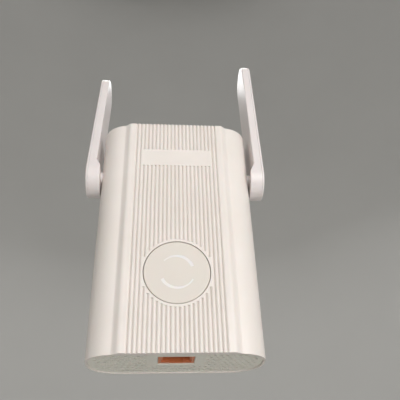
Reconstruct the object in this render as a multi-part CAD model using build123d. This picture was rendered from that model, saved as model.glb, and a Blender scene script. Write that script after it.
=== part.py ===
from build123d import *
import math
import os

# A wall-plug wireless extender, held by its mains plug, with two folding antennas.
# Millimetres. +Z is up, the ribbed front faces -Y and the mains pins point along +Y.
# The origin is on the flat back, midway between the pins.

# ------------------------------------------------------------------ shared
# weld: how far one body is sunk into the next before they are joined.
# over: how far a cutting body runs past what it cuts.
weld = 0.5
over = 1.0

# ------------------------------------------------------------------ casing
body_width = 79.0
body_height = 125.0
body_depth = 34.0
plug_below_top = 49.0
wall = 2.0
panel_rise = 2.15
front_corner_radius = 13.0
side_flat = 4.35
parting_step = 0.5
joint_gap = 0.06
lip_gap = 0.1
lip_wall = 0.9
lip_height = 1.5
lip_root = 4.0
lip_end_gap = 5.0

# ------------------------------------------------------------------ ribbed panel
groove_count = 22
groove_pitch = 2.0
groove_width = 1.7
groove_depth = 0.95
groove_bulge = 0.17
full_grooves_each_side = 2
panel_band = 2.6
panel_slope_run = 4.9
panel_slope_hold = 0.08
panel_wall = 2.0
panel_pocket_end = 6.0
blank_area_below_top = 17.9
blank_area_height = 10.4

# ------------------------------------------------------------------ end caps
rim = 1.0
cap_thickness = 1.6
cap_recess = 0.5
cap_clearance = 0.1
cap_skirt = 4.0
cap_skirt_wall = 1.0
cap_post_gap = 0.4
vent_size = 1.3
vent_pitch_across = 2.7
vent_pitch_deep = 2.9
vent_margin = 1.7
vent_port_gap = 4.6

# ------------------------------------------------------------------ push button
button_above_bottom = 36.5
button_hole_radius = 15.5
button_gap = 0.3
button_plate = 2.2
button_travel = 0.4
button_flange = 1.1
button_flange_thickness = 1.0
button_flange_gap = 0.05
button_edge_radius = 0.45
button_skirt_wall = 1.2
groove_end_margin = 1.2
stem_radius = 2.0
arc_outer_radius = 8.35
arc_mean_width = 1.05
arc_taper = 0.55
arc_depth = 1.0
upper_arc = (21, 138)
lower_arc = (207, 333)

# ------------------------------------------------------------------ antennas
hinge_below_top = 27.9
hinge_from_back = 20.0
tilt_back_left = 12.0
tilt_back_right = 2.5
blade_length = 79.7
blade_radius = 10.5
hub_thickness = 7.25
hub_step = 2.15
hub_step_start = -0.3
hub_step_run = 4.7
hub_face_gap = 0.25
antenna_wall = 1.3
antenna_lid = 1.25
antenna_lip_gap = 0.08
antenna_lip_wall = 0.8
antenna_lip_height = 1.0
antenna_edge = 0.65
antenna_inner_edge = 0.45
spigot_radius = 3.5
spigot_bore_radius = 1.5
spigot_running_gap = 0.06
hinge_boss_wall = 2.9
hinge_boss_length = 4.9
hinge_web_half = 1.0
hinge_web_front_gap = 4.0
clip_room_gap = 0.4
clip_room_length = 5.0
clip_thickness = 0.8
clip_groove_depth = 0.6
clip_width = 2.0
clip_opening = 3.4
clip_fit = 0.02
spigot_end_wall = 1.2
washer_thickness = 0.5
washer_gap = 0.1
washer_bore_gap = 0.1
element_thickness = 0.8
element_width = 9.0
element_end_gap = 6.0
element_below_hinge = 4.5
element_side_gap = 0.15
element_corner = 1.5

# ------------------------------------------------------------------ antenna leads
coax_radius = 0.65
coax_end_gap = 0.2
coax_hole_gap = 0.3
coax_bend = 1.8
coax_plug_radius = 1.5
coax_neck_radius = 0.95
coax_plug_height = 2.2
coax_exit_height = 1.3
coax_plug_from_edge = 3.5
coax_plug_below_hinge = 13.0

# ------------------------------------------------------------------ mains plug
pin_radius = 2.4
pin_spacing = 19.0
pin_length = 19.0
pin_tail_radius = 2.0
pin_tail_gap = 0.03
pin_tip_radius = 1.4
pin_tail_reach = 0.6
plug_boss_radius = 18.0
plug_boss_height = 9.0
plug_boss_edge = 1.5
plug_flange = 2.0
plug_flange_thickness = 1.5
plug_seat_clearance = 0.1

# ------------------------------------------------------------------ blank label
label_width = 34.0
label_height = 26.0
label_above_bottom = 16.0
label_thickness = 0.15
label_recess = 0.3
label_gap = 0.2

# ------------------------------------------------------------------ screws
shell_screw_inset = 11.5
shell_screw_from_end = 13.0
screw_shank_radius = 1.3
screw_head_radius = 2.5
screw_head_height = 1.8
screw_length = 21.0
screw_hole_clearance = 0.25
screw_recess_half = 1.4
screw_recess_width = 0.6
screw_recess_depth = 0.9
pilot_spare = 1.2
post_radius = 3.4
post_stagger = 2.0
screw_floor = 2.0
small_screw_radius = 0.9
small_screw_head_radius = 1.8
small_screw_head_height = 1.1
small_screw_hole_radius = 1.15
small_screw_length = 4.0

# ------------------------------------------------------------------ boards
board_thickness = 1.2
main_board_front_space = 2.75
main_board_end_gap = 3.0
board_side_gap = 1.0
board_corner = 2.0
board_post_radius = 2.2
board_screw_inset = 3.4
board_screw_above_jack = 6.0
board_screw_below_top = 8.0
standoff_radius = 2.4
power_screw_inset = 3.0
power_board_standoff = 3.6
power_board_half_height = 25.0
power_board_half_width = 19.5
power_board_raise = 6.0
transformer_x = 3.0
transformer_above_middle = 9.0
transformer_height = 11.2
heat_sink_above_jack = 3.5
heat_sink_height = 20.0
header_pitch = 2.54
header_count = 4
header_from_edge = 3.5

# ------------------------------------------------------------------ network socket
jack_width = 15.8
jack_height = 11.0
jack_length = 15.0
jack_wall = 1.5
jack_cavity_width = 12.0
jack_cavity_height = 7.2
jack_cavity_length = 12.5
jack_key_width = 6.2
jack_key_depth = 1.3
jack_lead_in = 0.7
jack_comb_depth = 0.9
jack_recess = 0.3
jack_skirt_gap = 1.0
port_gap = 0.15
port_bevel = 0.35
contact_count = 8
contact_pitch = 1.02
contact_width = 0.45

# ------------------------------------------------------------------ small parts on the boards
contact_foot_width = 4.0
contact_foot_height = 6.0
contact_strip = 0.5
contact_post_width = 0.8
contact_post_height = 4.0
contact_solder_end = 1.2
slot_clearance = 0.2
winding_width = 11.2
winding_height = 10.0
winding_rise = 2.6
winding_corner = 2.0
core_size = 16.0
core_rise = 4.9
core_thickness = 4.2
core_leg = 5.0
core_window = 3.4
core_window_height = 10.4
core_gap = 0.1
bobbin_half_width = 7.0
bobbin_half_height = 8.0
bobbin_lift = 0.4
bobbin_thickness = 2.0
bobbin_pin_radius = 0.35
bobbin_pin_row = 6.8
bobbin_pin_pitch = 2.5
cheek_half_width = 2.4
cheek_row = 6.4
cheek_thickness = 1.2
lead_radius = 0.3
can_lift = 0.2
can_crimp_from_end = 1.6
can_crimp_width = 0.6
can_crimp_depth = 0.35
can_lead_exit = 0.9
can_lead_spread = 0.4
large_can_radius = 4.6
large_can_length = 13.0
large_can_from_edge = 6.2
large_can_below_top = 13.5
small_can_radius = 3.6
small_can_length = 11.0
small_can_x = -3.0
small_can_above_low = 12.0
output_can_radius = 3.4
output_can_length = 10.0
output_can_from_edge = 5.0
output_can_above_low = 15.0
rectifier_size = 5.0
rectifier_height = 2.4
rectifier_from_edge = 4.0
rectifier_z = -2.0
fuse_radius = 2.6
fuse_height = 7.5
fuse_from_edge = 4.2
fuse_above_low = 11.0
disc_radius = 3.2
disc_thickness = 2.6
disc_rise = 4.0
disc_from_edge = 6.5
disc_leg_offset = 2.0
disc_z = 3.3
controller_width = 5.0
controller_height = 6.0
controller_x = 6.0
controller_z = -6.5
controller_lift = 0.2
controller_top = 1.7
controller_foot_pitch = 1.27
foot_half = 0.25
foot_rise = 0.6
sheet_thickness = 0.3
sheet_low_margin = 6.0
sheet_high_margin = 1.0
module_width = 7.0
module_height = 12.0
module_thickness = 2.6
module_from_jack = 5.5
module_above_low = 8.0
module_foot_pitch = 2.0
processor_size = 9.0
processor_x = -5.5
radio_size = 7.0
radio_x = 6.5
memory_width = 6.0
memory_height = 4.6
memory_above_sink = 4.2
chip_thickness = 1.0
memory_thickness = 1.2
pad_thickness = 1.0
pad_inset = 0.5
sink_half_width = 13.0
sink_base = 1.5
fin_height = 3.5
fin_pitch = 3.0
fin_thickness = 1.0
shield_half_width = 14.0
shield_height = 24.0
shield_rise = 1.6
shield_sheet = 0.2
shield_above_button = 8.0
switch_half = 2.6
switch_height = 1.5
plunger_radius = 1.6
plunger_top = 2.0
plunger_floor = 0.4
plunger_gap = 0.05
header_bar_half = 1.25
header_bar_height = 2.6
header_pin_half = 0.32
header_tail = 0.8
header_end_gap = 1.2
header_bar_margin = 0.1
header_hole_floor = 1.0
header_hole_depth = 6.0
header_hole_half = 0.4
socket_bar_height = 6.0
lamp_width = 1.6
lamp_height = 0.8
lamp_thickness = 0.6
lamp_turns = (45, 75, 105, 225, 255, 285)

# ------------------------------------------------------------------ derived sizes
half_width = body_width / 2
top_z = plug_below_top
bottom_z = top_z - body_height
wing_depth = body_depth - panel_rise
back_corner_radius = wing_depth - front_corner_radius - side_flat
parting_depth = back_corner_radius + parting_step
groove_reach = (groove_count - 1) / 2 * groove_pitch
panel_half = groove_reach + panel_band
panel_inner_depth = body_depth - groove_depth - panel_wall
button_z = bottom_z + button_above_bottom
button_radius = button_hole_radius - button_gap
hinge_z = top_z - hinge_below_top
hub_face_x = half_width + hub_face_gap
blade_inner_x = hub_face_x + hub_step
blade_outer_x = hub_face_x + hub_thickness
lid_x = blade_outer_x - antenna_lid
element_x = blade_inner_x + antenna_wall + element_side_gap
boss_inner_x = half_width - hinge_boss_length
boss_radius = spigot_radius + spigot_running_gap + hinge_boss_wall
clip_x = boss_inner_x - washer_gap - washer_thickness - clip_thickness
post_x = half_width - shell_screw_inset
screw_seat_depth = screw_floor + screw_head_height
post_z_low = bottom_z + shell_screw_from_end
post_z_high = top_z - shell_screw_from_end
cap_total = cap_thickness + cap_recess
bottom_cap_inner_z = bottom_z + cap_total
top_cap_inner_z = top_z - cap_total
main_board_front_depth = wing_depth - wall - main_board_front_space
main_board_rear_depth = main_board_front_depth - board_thickness
main_board_half_width = post_x - post_radius - board_side_gap
main_board_low_z = bottom_cap_inner_z + main_board_end_gap
main_board_high_z = top_cap_inner_z - cap_skirt - main_board_end_gap
pin_tail_depth = wall + plug_flange_thickness + pin_tail_reach
power_board_rear_depth = wall + power_board_standoff
power_board_front_depth = power_board_rear_depth + board_thickness
power_board_low_z = power_board_raise - power_board_half_height
power_board_high_z = power_board_raise + power_board_half_height
transformer_z = power_board_raise + transformer_above_middle
heat_z_low = main_board_low_z + jack_length + heat_sink_above_jack
heat_z_high = heat_z_low + heat_sink_height
chip_z = (heat_z_low + heat_z_high) / 2
header_z = power_board_low_z + header_from_edge
jack_front_depth = main_board_rear_depth
jack_rear_depth = jack_front_depth - jack_height
jack_mouth_z = bottom_z + cap_recess + jack_recess


# ------------------------------------------------------------------ helpers
def block(x0, x1, d0, d1, z0, z1):
    """A box between two X values, two depths in front of the back plane and two heights."""
    size = Box(abs(x1 - x0), abs(d1 - d0), abs(z1 - z0))
    return Pos((x0 + x1) / 2, -(d0 + d1) / 2, (z0 + z1) / 2) * size


def rod_y(radius, x, z, d0, d1):
    """A cylinder along Y between two depths in front of the back plane."""
    turned = Rot(90, 0, 0) * Cylinder(radius, abs(d1 - d0))
    return Pos(x, -(d0 + d1) / 2, z) * turned


def rod_x(radius, depth, z, x0, x1):
    """A cylinder along X between two X values."""
    turned = Rot(0, 90, 0) * Cylinder(radius, abs(x1 - x0))
    return Pos((x0 + x1) / 2, -depth, z) * turned


def rod_z(radius, x, depth, z0, z1):
    """A cylinder along Z between two heights."""
    return Pos(x, -depth, (z0 + z1) / 2) * Cylinder(radius, abs(z1 - z0))


def mirror_x(shape):
    """The same shape on the other side of the middle plane."""
    return mirror(shape, about=Plane.YZ)


def upright(face, z0, z1):
    """A face drawn at height zero, pushed up from z0 to z1."""
    return Pos(0, 0, z0) * extrude(face, amount=z1 - z0, dir=(0, 0, 1))


def tube_face(inset):
    """The casing's plain section, without the raised panel, moved inwards by inset."""
    side = half_width - inset
    back_r = back_corner_radius - inset
    front_r = front_corner_radius - inset
    back = inset
    front = wing_depth - inset
    diagonal = math.sqrt(0.5)
    back_c = (side - back_r, back + back_r)
    front_c = (side - front_r, front - front_r)
    back_mid = (back_c[0] + back_r * diagonal, -(back_c[1] - back_r * diagonal))
    front_mid = (front_c[0] + front_r * diagonal, -(front_c[1] + front_r * diagonal))
    right = [
        Line((0, -back), (back_c[0], -back)),
        ThreePointArc((back_c[0], -back), back_mid, (side, -back_c[1])),
        Line((side, -back_c[1]), (side, -front_c[1])),
        ThreePointArc((side, -front_c[1]), front_mid, (front_c[0], -front)),
        Line((front_c[0], -front), (0, -front)),
    ]
    left = [mirror(edge, about=Plane.YZ) for edge in right]
    return make_face(right + left)


def wing_surface_depth(x):
    """How far the plain section's front lies in front of the back plane at x."""
    centre_x = half_width - front_corner_radius
    centre_depth = wing_depth - front_corner_radius
    if x <= centre_x:
        return wing_depth
    return centre_depth + math.sqrt(front_corner_radius**2 - (x - centre_x) ** 2)


def panel_face():
    """The raised panel's section, with an S-shaped slope down to each wing."""
    foot_x = panel_half + panel_slope_run
    foot = wing_surface_depth(foot_x) - joint_gap
    crest = (panel_half, -body_depth)
    pull = panel_slope_run / 2
    low_pull = foot + panel_slope_hold * (body_depth - foot)
    slope = Bezier(crest, (panel_half + pull, -body_depth), (foot_x - pull, -low_pull), (foot_x, -foot))
    root = foot - wall
    right = [
        Line((0, -body_depth), crest),
        slope,
        Line((foot_x, -foot), (foot_x - wall, -root)),
        Line((foot_x - wall, -root), (0, -root)),
    ]
    left = [mirror(edge, about=Plane.YZ) for edge in right]
    return make_face(right + left)


def groove_face():
    """One groove's section: two convex flanks that meet in a sharp valley."""
    half = groove_width / 2
    middle_x = half / 2 - groove_bulge
    middle_depth = (groove_depth - groove_bulge) / 2
    flank_r = ThreePointArc((half, 0), (middle_x, middle_depth), (0, groove_depth))
    flank_l = ThreePointArc((0, groove_depth), (-middle_x, middle_depth), (-half, 0))
    lid = Polyline((-half, 0), (-half, -over), (half, -over), (half, 0))
    return make_face([flank_r, flank_l, lid])


def groove_spans(x):
    """The heights between which a groove at x is cut."""
    low = bottom_z - over
    high = top_z + over
    interrupted_half = (groove_count / 2 - full_grooves_each_side) * groove_pitch
    if abs(x) > interrupted_half:
        return [(low, high)]
    blank_top = top_z - blank_area_below_top
    blank_bottom = blank_top - blank_area_height
    reach = button_hole_radius + groove_end_margin
    if abs(x) >= reach:
        return [(low, blank_bottom), (blank_top, high)]
    chord = math.sqrt(reach**2 - x**2)
    return [(low, button_z - chord), (button_z + chord, blank_bottom), (blank_top, high)]


def grooves():
    """All the grooves of the panel, as solids to cut away."""
    profile = groove_face()
    cuts = []
    for index in range(groove_count):
        x = (index - (groove_count - 1) / 2) * groove_pitch
        for low, high in groove_spans(x):
            cuts.append(Pos(x, -body_depth, 0) * upright(profile, low, high))
    return cuts


def depth_slice(depth0, depth1):
    """Everything between two depths, for splitting the casing into its shells."""
    return block(-body_width, body_width, depth0, depth1, bottom_z - over, top_z + over)


def casing():
    """The whole casing as a hollow tube, before it is split at the parting plane."""
    outer = upright(tube_face(0), bottom_z, top_z) + upright(panel_face(), bottom_z, top_z)
    hollow = upright(tube_face(wall), bottom_z - over, top_z + over)
    pocket_half = groove_reach + groove_width / 2 - weld
    pocket = block(
        -pocket_half, pocket_half,
        wing_depth - wall - over, panel_inner_depth,
        bottom_z + panel_pocket_end, top_z - panel_pocket_end,
    )
    low_seat = upright(tube_face(rim), bottom_z - over, bottom_cap_inner_z)
    high_seat = upright(tube_face(rim), top_cap_inner_z, top_z + over)
    tube = outer - [hollow, pocket, low_seat, high_seat]
    return tube - grooves()


def casing_inside():
    """The room inside the casing, with a little of its wall, for trimming posts and ribs."""
    return upright(tube_face(wall - weld), bottom_cap_inner_z, top_cap_inner_z)


# ------------------------------------------------------------------ casing pieces
def screw_posts(d0, d1):
    """The four posts that the casing screws run in, trimmed to the inside of the casing."""
    inside = casing_inside()
    return [rod_y(post_radius, x, z, d0, d1) & inside for x, z in screw_places()]


def screw_places():
    """X and Z of the casing screws."""
    return [(x, z) for x in (-post_x, post_x) for z in (post_z_low, post_z_high)]


def board_post_places():
    """X and Z of the main board's four screws."""
    x = main_board_half_width - board_screw_inset
    low = main_board_low_z + jack_length + board_screw_above_jack
    high = main_board_high_z - board_screw_below_top
    return [(side * x, z) for side in (-1, 1) for z in (low, high)]


def hinge_bearing(side):
    """The boss round an antenna's spigot and the web that braces it, flush with the casing's side."""
    envelope = upright(tube_face(0), bottom_z, top_z)
    boss = rod_x(boss_radius, hinge_from_back, hinge_z, side * boss_inner_x, side * half_width)
    web = block(
        side * boss_inner_x, side * half_width,
        hinge_from_back, wing_depth - hinge_web_front_gap,
        hinge_z - hinge_web_half, hinge_z + hinge_web_half,
    )
    return (boss + web) & envelope


def hinge_cuts(side):
    """The spigot's running bore, and room for the clip that turns inside the boss."""
    bore_radius = spigot_radius + spigot_running_gap
    clip_room_radius = spigot_radius + clip_width + clip_room_gap
    bore = rod_x(
        bore_radius, hinge_from_back, hinge_z,
        side * (boss_inner_x - over), side * (half_width + over),
    )
    clip_room = rod_x(
        clip_room_radius, hinge_from_back, hinge_z,
        side * (boss_inner_x - clip_room_length), side * boss_inner_x,
    )
    return [bore, clip_room]


def front_shell(tube):
    """The ribbed front, its sides, the hinge bearings and the posts on its inside."""
    shell = tube & depth_slice(parting_depth, body_depth + over)
    board_posts = [
        rod_y(board_post_radius, x, z, main_board_front_depth, panel_inner_depth + weld)
        for x, z in board_post_places()
    ]
    shell = shell + [hinge_bearing(side) for side in (-1, 1)]
    shell = shell + screw_posts(parting_depth + post_stagger, wing_depth) + board_posts
    pilot_end = screw_seat_depth + screw_length + pilot_spare
    pilots = [rod_y(screw_shank_radius, x, z, 0, pilot_end) for x, z in screw_places()]
    board_pilot_end = main_board_rear_depth + small_screw_length
    board_pilots = [
        rod_y(small_screw_radius, x, z, main_board_front_depth - over, board_pilot_end)
        for x, z in board_post_places()
    ]
    hole = rod_y(button_hole_radius, 0, button_z, wing_depth - wall - over, body_depth + over)
    return shell - hinge_cuts(-1) - hinge_cuts(1) - pilots - board_pilots - [hole]


def shell_lip():
    """The lap lip that lines the parting joint from inside, clear of the hinge bosses."""
    low = bottom_cap_inner_z + lip_end_gap
    high = top_cap_inner_z - lip_end_gap
    inner = upright(tube_face(wall + lip_gap + lip_wall), bottom_z, top_z)
    lip = upright(tube_face(wall + lip_gap), low, high) - inner
    root = upright(tube_face(wall - weld), low, high) - inner
    lip = lip & depth_slice(parting_depth - lip_root, parting_depth + lip_height)
    root = root & depth_slice(parting_depth - lip_root, parting_depth - lip_height)
    keep_out = rod_x(boss_radius + weld, hinge_from_back, hinge_z, -body_width, body_width)
    return [lip - keep_out, root - keep_out]


def screw_clearances():
    """The casing screws' clearance holes and the counterbores for their heads."""
    cuts = []
    for x, z in screw_places():
        hole_end = parting_depth + post_stagger + over
        cuts.append(rod_y(screw_shank_radius + screw_hole_clearance, x, z, -over, hole_end))
        cuts.append(rod_y(screw_head_radius + screw_hole_clearance, x, z, -over, screw_seat_depth))
    return cuts


def rear_shell(tube):
    """The flat back, its lap lip and posts, the plug's seat and a notch round each hinge boss."""
    shell = tube & depth_slice(-over, parting_depth - joint_gap)
    posts = screw_posts(weld, parting_depth + post_stagger - joint_gap)
    standoffs = [
        rod_y(standoff_radius, x, z, wall - weld, power_board_rear_depth)
        for x, z in power_screw_places()
    ]
    shell = shell + shell_lip() + posts + standoffs
    plug_seat = rod_y(plug_boss_radius + plug_seat_clearance, 0, 0, -over, wall + over)
    pilot_start = power_board_front_depth - small_screw_length
    pilots = [
        rod_y(small_screw_radius, x, z, pilot_start, power_board_rear_depth + over)
        for x, z in power_screw_places()
    ]
    label_seat = label_block(label_gap, -over, label_recess)
    notches = [
        rod_x(
            boss_radius + joint_gap, hinge_from_back, hinge_z,
            side * (boss_inner_x - over), side * (half_width + over),
        )
        for side in (-1, 1)
    ]
    return shell - screw_clearances() - pilots - notches - [plug_seat, label_seat]


def power_screw_places():
    """X and Z of the power board's screws, clear of the plug's flange."""
    x = power_board_half_width - power_screw_inset
    high = power_board_high_z - power_screw_inset
    low = power_board_low_z + power_screw_inset
    return [(-x, high), (x, high), (-x, low), (x, low)]


def vent_holes(z, with_port):
    """Staggered square vents, as solids to cut out of an end cap."""
    edge = rim + cap_clearance + vent_margin + vent_size / 2
    allowed = tube_face(edge)
    rows = int((wing_depth - 2 * edge) / vent_pitch_deep)
    columns = int(half_width / vent_pitch_across) + 1
    port_half = jack_width / 2 + vent_port_gap
    port_rear = jack_rear_depth - 2 * port_bevel - vent_size
    cuts = []
    for row in range(rows + 1):
        depth = wing_depth / 2 + (row - rows / 2) * vent_pitch_deep
        shift = (row % 2) * vent_pitch_across / 2
        for column in range(-columns, columns + 1):
            x = column * vent_pitch_across + shift
            beside_port = with_port and abs(x) < port_half and depth > port_rear
            if allowed.is_inside(Vector(x, -depth, 0)) and not beside_port:
                cuts.append(Pos(x, -depth, z) * Box(vent_size, vent_size, cap_thickness + over))
    return cuts


def cap_skirt_solid(inner_z, inward, with_port):
    """The skirt that stands in the casing, cut away for posts, board and socket."""
    start = inner_z - inward * weld
    end = inner_z + inward * cap_skirt
    low = min(start, end)
    high = max(start, end)
    outer = upright(tube_face(wall + cap_clearance), low, high)
    inner = upright(tube_face(wall + cap_clearance + cap_skirt_wall), low - over, high + over)
    post_cuts = [rod_y(post_radius + cap_post_gap, x, z, 0, wing_depth) for x, z in screw_places()]
    board_cut = block(
        -main_board_half_width - over, main_board_half_width + over,
        main_board_rear_depth - weld, wing_depth,
        min(inner_z, end), max(inner_z, end),
    )
    skirt = outer - inner - post_cuts - board_cut
    if with_port:
        half = jack_width / 2 + jack_skirt_gap
        rear = jack_rear_depth - jack_skirt_gap
        skirt = skirt - block(-half, half, rear, wing_depth, inner_z, high + over)
    return skirt


def end_cap(face_z, inner_z, with_port):
    """One end's vent cap: a plate of square vents with a skirt that stands in the casing."""
    low = min(face_z, inner_z)
    high = max(face_z, inner_z)
    inward = 1 if inner_z > face_z else -1
    plate = upright(tube_face(rim + cap_clearance), low, high)
    cap = plate + cap_skirt_solid(inner_z, inward, with_port)
    cap = cap - vent_holes((low + high) / 2, with_port)
    if with_port:
        cap = cap - port_mouth(face_z, inner_z)
    return cap


def port_mouth(face_z, inner_z):
    """The opening that the network socket's nose stands in, bevelled round its outer edge."""
    half = jack_width / 2 + port_gap
    front = jack_front_depth + port_gap
    rear = jack_rear_depth - port_gap
    spread = 2 * port_bevel
    through = block(-half, half, rear, front, face_z - over, inner_z + over)
    inner = Pos(0, 0, face_z + port_bevel) * mouth_rectangle(half, front, rear)
    outer = Pos(0, 0, face_z - port_bevel) * mouth_rectangle(half + spread, front + spread, rear - spread)
    return [through, loft([inner.face(), outer.face()])]


def mouth_rectangle(half, front, rear):
    """A rectangle across the middle plane, between two depths."""
    return Pos(0, -(front + rear) / 2, 0) * Rectangle(2 * half, front - rear)


def label_block(margin, depth0, depth1):
    """The label's outline, made larger all round by margin, between two depths."""
    half = label_width / 2 + margin
    low = bottom_z + label_above_bottom
    return block(-half, half, depth0, depth1, low - margin, low + label_height + margin)


def rating_label():
    """The blank label in its shallow recess in the back."""
    return label_block(0, label_recess - label_thickness, label_recess)


def shell_screws():
    """The four screws that hold the shells together."""
    return [screw(x, z, screw_seat_depth, screw_length) for x, z in screw_places()]


def screw(x, z, seat, length):
    """A pan-head screw driven towards the front, with a cross recess in its head."""
    top = seat - screw_head_height
    head = rod_y(screw_head_radius, x, z, top, seat)
    shank = rod_y(screw_shank_radius, x, z, seat, seat + length)
    long_half = screw_recess_half
    short_half = screw_recess_width / 2
    floor = top + screw_recess_depth
    across = block(x - long_half, x + long_half, top - over, floor, z - short_half, z + short_half)
    down = block(x - short_half, x + short_half, top - over, floor, z - long_half, z + long_half)
    return head + shank - [across, down]


# ------------------------------------------------------------------ mains plug
def plug_insert():
    """The round plug body, with a flange inside the back and a hole for each pin."""
    boss = rod_y(plug_boss_radius, 0, 0, -plug_boss_height, wall)
    rim_edge = boss.edges().filter_by(GeomType.CIRCLE).sort_by(Axis.Y)[-1]
    boss = fillet(rim_edge, plug_boss_edge)
    flange = rod_y(plug_boss_radius + plug_flange, 0, 0, wall, wall + plug_flange_thickness)
    insert = boss + flange
    holes = [
        rod_y(pin_tail_radius + pin_tail_gap, x, 0, -plug_boss_height - over, pin_tail_depth + over)
        for x in (-pin_spacing / 2, pin_spacing / 2)
    ]
    return insert - holes


def plug_pin(side):
    """One round mains pin, rounded at its tip, with a thinner tail through the plug body."""
    x = side * pin_spacing / 2
    tip = -plug_boss_height - pin_length
    pin = rod_y(pin_radius, x, 0, tip, -plug_boss_height)
    tip_edge = pin.edges().filter_by(GeomType.CIRCLE).sort_by(Axis.Y)[-1]
    tail = rod_y(pin_tail_radius, x, 0, -plug_boss_height, pin_tail_depth)
    return fillet(tip_edge, pin_tip_radius) + tail


def pin_contact(side):
    """The spring strip that carries current from a pin's tail to the power board."""
    x = side * pin_spacing / 2
    foot_top = pin_tail_depth + contact_strip
    foot_half = contact_foot_width / 2
    foot = block(
        x - foot_half, x + foot_half, pin_tail_depth, foot_top,
        -contact_foot_height / 2, contact_foot_height / 2,
    )
    post_half = contact_post_width / 2
    post = block(
        x - post_half, x + post_half, foot_top, power_board_front_depth + contact_solder_end,
        -contact_post_height / 2, contact_post_height / 2,
    )
    return foot + post


# ------------------------------------------------------------------ power supply
def power_board():
    """The mains power supply's circuit board."""
    low = power_board_rear_depth
    high = power_board_front_depth
    half = power_board_half_width
    board = block(-half, half, low, high, power_board_low_z, power_board_high_z)
    slot_half = contact_post_width / 2 + slot_clearance
    slot_reach = contact_post_height / 2 + slot_clearance
    slots = [
        block(x - slot_half, x + slot_half, low - over, high + over, -slot_reach, slot_reach)
        for x in (-pin_spacing / 2, pin_spacing / 2)
    ]
    holes = [
        rod_y(small_screw_hole_radius, x, z, low - over, high + over)
        for x, z in power_screw_places()
    ]
    header_hole_radius = header_pin_half * math.sqrt(2) + joint_gap
    pin_holes = [
        rod_y(header_hole_radius, x, header_z, low - over, high + over)
        for x in header_places()
    ]
    return board - slots - holes - pin_holes


def small_screw(x, z, seat, away):
    """A board screw whose head stands on the seat's far side and whose shank runs the other way."""
    head = rod_y(small_screw_head_radius, x, z, seat, seat + away * small_screw_head_height)
    shank = rod_y(small_screw_radius, x, z, seat - away * small_screw_length, seat)
    return head + shank


def power_board_screws():
    """The power board's four small screws."""
    return [small_screw(x, z, power_board_front_depth, 1) for x, z in power_screw_places()]


def transformer_winding():
    """The transformer's taped winding, round the core's middle leg."""
    d = power_board_front_depth
    half = winding_width / 2
    reach = winding_height / 2
    outer = block(
        transformer_x - half, transformer_x + half, d + winding_rise, d + transformer_height,
        transformer_z - reach, transformer_z + reach,
    )
    outer = fillet(outer.edges().filter_by(Axis.Z), winding_corner)
    leg_half = core_leg / 2 + core_gap
    hole = block(
        transformer_x - leg_half, transformer_x + leg_half,
        d + core_rise - core_gap, d + core_rise + core_thickness + core_gap,
        transformer_z - core_size, transformer_z + core_size,
    )
    return outer - hole


def transformer_core():
    """The transformer's ferrite core: two joined E halves."""
    low = power_board_front_depth + core_rise
    high = low + core_thickness
    x = transformer_x
    z = transformer_z
    half = core_size / 2
    core = block(x - half, x + half, low, high, z - half, z + half)
    reach = core_window_height / 2
    for side in (-1, 1):
        near = x + side * core_leg / 2
        far = near + side * core_window
        core = core - block(near, far, low - over, high + over, z - reach, z + reach)
    return core


def transformer_bobbin():
    """The transformer's moulded base, with its soldering pins and the two cheeks under the core."""
    d = power_board_front_depth
    x = transformer_x
    z = transformer_z
    base_low = d + bobbin_lift
    base_top = base_low + bobbin_thickness
    base = block(
        x - bobbin_half_width, x + bobbin_half_width, base_low, base_top,
        z - bobbin_half_height, z + bobbin_half_height,
    )
    pins = [
        rod_y(bobbin_pin_radius, x + k * bobbin_pin_pitch, z + row, d, base_top - weld)
        for k in range(-2, 3)
        for row in (-bobbin_pin_row, bobbin_pin_row)
    ]
    cheek_top = d + core_rise - core_gap
    cheek_half = cheek_thickness / 2
    cheeks = [
        block(
            x - cheek_half_width, x + cheek_half_width, base_top, cheek_top,
            z + row - cheek_half, z + row + cheek_half,
        )
        for row in (-cheek_row, cheek_row)
    ]
    return base + pins + cheeks


def lying_capacitor(x, z, radius, length):
    """A round capacitor lying along Z on the power board, with its crimp and its two leads."""
    depth = power_board_front_depth + radius + can_lift
    foot = z - length / 2
    can = rod_z(radius, x, depth, foot, z + length / 2)
    crimp_z = foot + can_crimp_from_end
    crimp = rod_z(radius + over, x, depth, crimp_z, crimp_z + can_crimp_width)
    core = rod_z(radius - can_crimp_depth, x, depth, crimp_z - over, crimp_z + can_crimp_width + over)
    can = can - (crimp - core)
    leads = []
    lead_z = foot - can_lead_exit
    for side in (-1, 1):
        lead_x = x + side * radius * can_lead_spread
        leads.append(rod_z(lead_radius, lead_x, depth, lead_z - lead_radius, foot + lead_radius))
        leads.append(rod_y(lead_radius, lead_x, lead_z, power_board_front_depth, depth))
    return can + leads


def input_capacitors():
    """The two mains-side capacitors."""
    large_x = -power_board_half_width + large_can_from_edge
    large_z = power_board_high_z - large_can_below_top
    small_z = power_board_low_z + small_can_above_low
    return [
        lying_capacitor(large_x, large_z, large_can_radius, large_can_length),
        lying_capacitor(small_can_x, small_z, small_can_radius, small_can_length),
    ]


def output_capacitor():
    """The low-voltage side's capacitor."""
    x = power_board_half_width - output_can_from_edge
    z = power_board_low_z + output_can_above_low
    return lying_capacitor(x, z, output_can_radius, output_can_length)


def rectifier():
    """The bridge rectifier."""
    x = -power_board_half_width + rectifier_from_edge
    d = power_board_front_depth
    half = rectifier_size / 2
    return block(x - half, x + half, d, d + rectifier_height, rectifier_z - half, rectifier_z + half)


def input_fuse():
    """The mains fuse in its small drum."""
    x = -power_board_half_width + fuse_from_edge
    z = power_board_low_z + fuse_above_low
    return rod_y(fuse_radius, x, z, power_board_front_depth, power_board_front_depth + fuse_height)


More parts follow.
